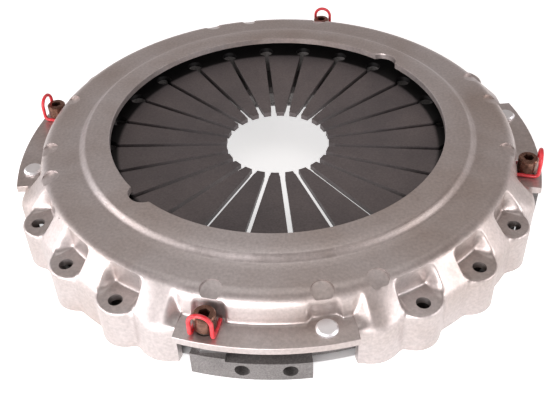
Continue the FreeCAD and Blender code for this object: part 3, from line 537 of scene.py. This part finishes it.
def slope_section(rim, inset):
    """Section from the shoulder's rounding to the skirt's lower edge, straight down a slope."""
    foot = (rim, FLANK_FOOT)
    run, fall = foot[0] - SHOULDER[0], foot[1] - SHOULDER[1]
    turn = math.atan2(fall, run) + math.acos(SHOULDER_ROUND / math.hypot(run, fall))
    across, up = math.cos(turn), math.sin(turn)
    points = arc(SHOULDER, SHOULDER_ROUND - inset, 90, math.degrees(turn), ROUND_STEPS)
    corner = (rim - inset, foot[1] - inset * up + inset * (1 - across) * across / up)
    soft = FLANK_FOOT_BEND_INSIDE if inset else FLANK_FOOT_BEND
    start = (corner[0] - soft * up, corner[1] + soft * across)
    points += line(points[-1], start, FLANK_STEPS)
    points += bend(points[-1], corner, (corner[0], corner[1] - soft), EDGE_STEPS)
    return points + line(points[-1], (corner[0], 0.0), SKIRT_STEPS)


def mixed(first, second, share):
    return [tuple(a + (b - a) * share for a, b in zip(one, other))
            for one, other in zip(first, second)]


def cover_section(tab, bottom, opening):
    """Closed section of the sheet: outer face from the opening to the skirt, and back inside."""
    rim = rim_radius(tab)
    share = slope_share(tab) if bottom == 0 else 0.0
    outer = mixed(ledge_section(tab, rim, 0.0, bottom), slope_section(rim, 0.0), share)
    inner = mixed(ledge_section(tab, rim, SHEET, bottom), slope_section(rim, SHEET), share)
    points = [(opening, TOP - SHEET), (opening, TOP - OPENING_BEND), (opening, TOP - OPENING_CORNER),
              (opening + OPENING_CORNER, TOP), (opening + OPENING_BEND, TOP)]
    points += line(points[-1], (STEP_START - STEP_SOFT, TOP), 2)
    for step in range(1, STEP_STEPS + 1):
        fallen = step / STEP_STEPS
        points.append((STEP_START - STEP_SOFT + fallen * (STEP_WIDTH + 2 * STEP_SOFT),
                       TOP - STEP_DROP * ease(0, 1, fallen)))
    points += line(points[-1], (SHOULDER[0] - SHOULDER_LEAD, TIER), 3)
    points += outer
    points += inner[::-1]
    points += [(STEP_START + STEP_WIDTH, TIER - SHEET), (STEP_START_INSIDE, TOP - SHEET)]
    return points


def tab_angles():
    """Angles from a tab's middle to a foot's, each with the height where the sheet ends there."""
    angles = [0.0]
    while angles[-1] < EIGHTH:
        here = angles[-1]
        close = any(low <= here < high for low, high in CLOSE_ANGLES)
        angles.append(min(EIGHTH, round(here + (CLOSE_STEP if close else WIDE_STEP), 3)))
    tabs = [(tab, LEDGE - SHEET) for tab in angles if tab < WINDOW_HALF]
    tabs += [(WINDOW_HALF, LEDGE - SHEET), (WINDOW_HALF, 0.0)]
    return tabs + [(tab, 0.0) for tab in angles if tab > WINDOW_HALF]


def grid_mesh(name, rings):
    """Mesh of a closed strip of closed sections."""
    count = len(rings[0])
    vertices = [point for ring in rings for point in ring]
    faces = []
    for number in range(len(rings)):
        here, there = number * count, (number + 1) % len(rings) * count
        for step in range(count):
            after = (step + 1) % count
            faces.append((here + step, here + after, there + after, there + step))
    mesh = bpy.data.meshes.new(name)
    mesh.from_pydata(vertices, [], faces)
    mesh.update()
    return mesh


def polar(radius, angle, height):
    """Place in metres from a radius and height in millimetres and an angle in degrees."""
    turn = math.radians(angle)
    return Vector((radius * math.cos(turn), radius * math.sin(turn), height)) * MM


def add_piece(name, data):
    piece = bpy.data.objects.new(name, data)
    SCENE.collection.objects.link(piece)
    return piece


def punch_mesh():
    """Round punches for holes and coins as one mesh."""
    form = bmesh.new()

    def rod(radius, reach, angle, low, high, tilt=0.0):
        turn = Matrix.Rotation(math.radians(angle), 4, "Z")
        foot = Matrix.Translation(polar(reach, angle, low)) @ turn
        lean = Matrix.Rotation(math.radians(tilt), 4, "Y")
        rise = Matrix.Translation((0, 0, (high - low) / 2 * MM))
        bmesh.ops.create_cone(form, cap_ends=True, segments=48, radius1=radius * MM,
                              radius2=radius * MM, depth=(high - low) * MM,
                              matrix=foot @ lean @ rise)
    for quarter in range(0, 360, 90):
        for bolt in BOLT_ANGLES:
            rod(BOLT_HOLE, BOLT_CIRCLE, quarter + bolt, *BOLT_PUNCH)
        for coin, radius in COINS:
            sunk = COIN_LEVEL - COIN_DEPTH - COIN_DEPTH_PER_RADIUS * radius
            rod(radius, COIN_CIRCLE, quarter + coin, sunk, sunk + COIN_PUNCH, COIN_TILT)
        rod(RIVET_BORE, STRAP_CIRCLE, quarter + STRAP_ANGLE, *STRAP_PUNCH)
        rod(TAB_BORE, STRAP_CIRCLE, quarter - STRAP_ANGLE, *STRAP_PUNCH)
    bmesh.ops.recalc_face_normals(form, faces=form.faces)
    mesh = bpy.data.meshes.new("punches")
    form.to_mesh(mesh)
    form.free()
    return mesh


def final_mesh(piece):
    """A new mesh with the piece's curve or modifiers worked in."""
    graph = bpy.context.evaluated_depsgraph_get()
    return bpy.data.meshes.new_from_object(piece.evaluated_get(graph))


def cut(piece, tool):
    """Subtract one object from another for good."""
    modifier = piece.modifiers.new("cut", "BOOLEAN")
    modifier.operation = "DIFFERENCE"
    modifier.solver = "FAST"
    modifier.object = tool
    bpy.context.view_layer.update()
    mesh = final_mesh(piece)
    piece.modifiers.clear()
    piece.data = mesh
    bpy.data.objects.remove(tool)


def make_cover_skin():
    """Pressed cover with its soft bends, in place of the CAD cover."""
    angles = tab_angles()
    sections = {place: cover_section(*place, OPENING) for place in angles}
    rings = []
    for quarter in range(0, 360, 90):
        both = [(quarter + place[0], place) for place in angles[:-1]]
        both += [(quarter + 90 - place[0], place) for place in reversed(angles[1:])]
        for angle, place in both:
            notch = max(far_side(angle, middle, NOTCH_REACH, NOTCH) for middle in (45, 225))
            points = sections[place]
            if notch > OPENING:
                points = cover_section(*place, notch)
            rings.append([polar(radius, angle, height) for radius, height in points])
    piece = add_piece("cover_sheet", grid_mesh("cover_sheet", rings))
    cut(piece, add_piece("punches", punch_mesh()))
    piece.data.name = "cover_sheet"
    piece.data.shade_smooth()
    piece.data.set_sharp_from_angle(angle=math.radians(SHEET_SHARP))
    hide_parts("cover")
    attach(piece, "cover")
    return piece


def make_spring():
    """Diaphragm spring: a copy of the CAD spring's mesh, carried by the cover's body."""
    piece = add_piece("spring_disc", NODES["diaphragm_spring"].data.copy())
    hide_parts("diaphragm_spring")
    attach(piece, "cover")
    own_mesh(piece)
    return piece


def make_leaf(place, layer, level):
    """One strap leaf without its holes, from the lug to the tab's rivet, rising in an S from one
    level to the other.
    """
    tab = TABS[place]
    low = LEAF_SEAT + layer * LEAF
    rise = LEDGE - SHEET - (len(LEAVES) - layer) * LEAF - low
    end = STRAP_REACH + LEAF_HALF
    flat = STRAP_REACH - LEAF_FLAT
    along = Matrix.Rotation(math.radians(tab + 90), 4, "Z")
    shift = polar(STRAP_MIDDLE, tab, 0)
    stations = [-end, LEAF_CORNER - end]
    stations += [flat * (step / (LEAF_STEPS / 2) - 1) for step in range(LEAF_STEPS + 1)]
    stations += [end - LEAF_CORNER, end]
    rings = []
    for x in stations:
        half = LEAF_HALF - max(0.0, abs(x) - (end - LEAF_CORNER))
        z = low + rise * ease(-flat, flat, x)
        ring = [(y, z) for y in (-half, -half / 3, half / 3, half)]
        ring += [(y, z + LEAF) for y in (half, half / 3, -half / 3, -half)]
        rings.append([shift + along @ (Vector((x, y, height)) * MM) for y, height in ring])
    count = len(rings[0])
    faces = [tuple(range(count))[::-1],
             tuple(len(rings) * count - count + step for step in range(count))]
    for number in range(len(rings) - 1):
        here, there = number * count, (number + 1) * count
        for step in range(count):
            after = (step + 1) % count
            faces.append((here + step, here + after, there + after, there + step))
    name = "strap_%s_%s" % (place, level)
    mesh = bpy.data.meshes.new("leaf_" + name)
    mesh.from_pydata([point for ring in rings for point in ring], [], faces)
    mesh.shade_smooth()
    mesh.set_sharp_from_angle(angle=math.radians(LEAF_SHARP))
    piece = add_piece("leaf_%s_%s" % (place, level), mesh)
    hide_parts(name)
    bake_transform(piece)
    return piece


def make_clip(place):
    """Transport clip: a round wire bent to two legs and an upright loop."""
    level = LEDGE + CLIP_GAP + CLIP_WIRE
    loop_centre = CLIP_TOP - CLIP_WIRE - CLIP_SIDE
    leg = [(CLIP_INNER, level)]
    for step in range(CLIP_BEND_STEPS + 1):
        angle = math.radians(90 * step / CLIP_BEND_STEPS)
        leg.append((CLIP_LOOP - CLIP_BEND * (1 - math.sin(angle)),
                    level + CLIP_BEND * (1 - math.cos(angle))))
    points = [(across, CLIP_SIDE, up) for across, up in leg]
    for step in range(CLIP_LOOP_STEPS + 1):
        angle = math.pi * step / CLIP_LOOP_STEPS
        points.append((CLIP_LOOP, CLIP_SIDE * math.cos(angle),
                       loop_centre + CLIP_SIDE * math.sin(angle)))
    points += [(across, -CLIP_SIDE, up) for across, up in reversed(leg)]
    curve = bpy.data.curves.new("clip_wire_" + place, "CURVE")
    curve.dimensions = "3D"
    curve.bevel_depth = CLIP_WIRE * MM
    curve.bevel_resolution = 4
    curve.use_fill_caps = True
    spline = curve.splines.new("POLY")
    spline.points.add(len(points) - 1)
    turn = Matrix.Rotation(math.radians(TABS[place] - STRAP_ANGLE), 4, "Z")
    for point, corner in zip(spline.points, points):
        point.co = (*(turn @ (Vector(corner) * MM)), 1)
    wire = add_piece("clip_curve_" + place, curve)
    mesh = final_mesh(wire)
    bpy.data.objects.remove(wire)
    mesh.shade_smooth()
    piece = add_piece("clip_wire_" + place, mesh)
    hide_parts("transport_clip_" + place)
    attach(piece, "clip_" + place)
    return piece


def main():
    place_camera()
    place_lights()
    place_floor()
    finishes = dress_all()
    pieces = [(make_cover_skin(), "cover"), (make_spring(), "diaphragm_spring")]
    for place in TABS:
        pieces += [(make_leaf(place, layer, level), "strap") for layer, level in enumerate(LEAVES)]
        pieces.append((make_clip(place), "transport_clip"))
    for piece, finish in pieces:
        dress(piece, finishes[finish])


main()
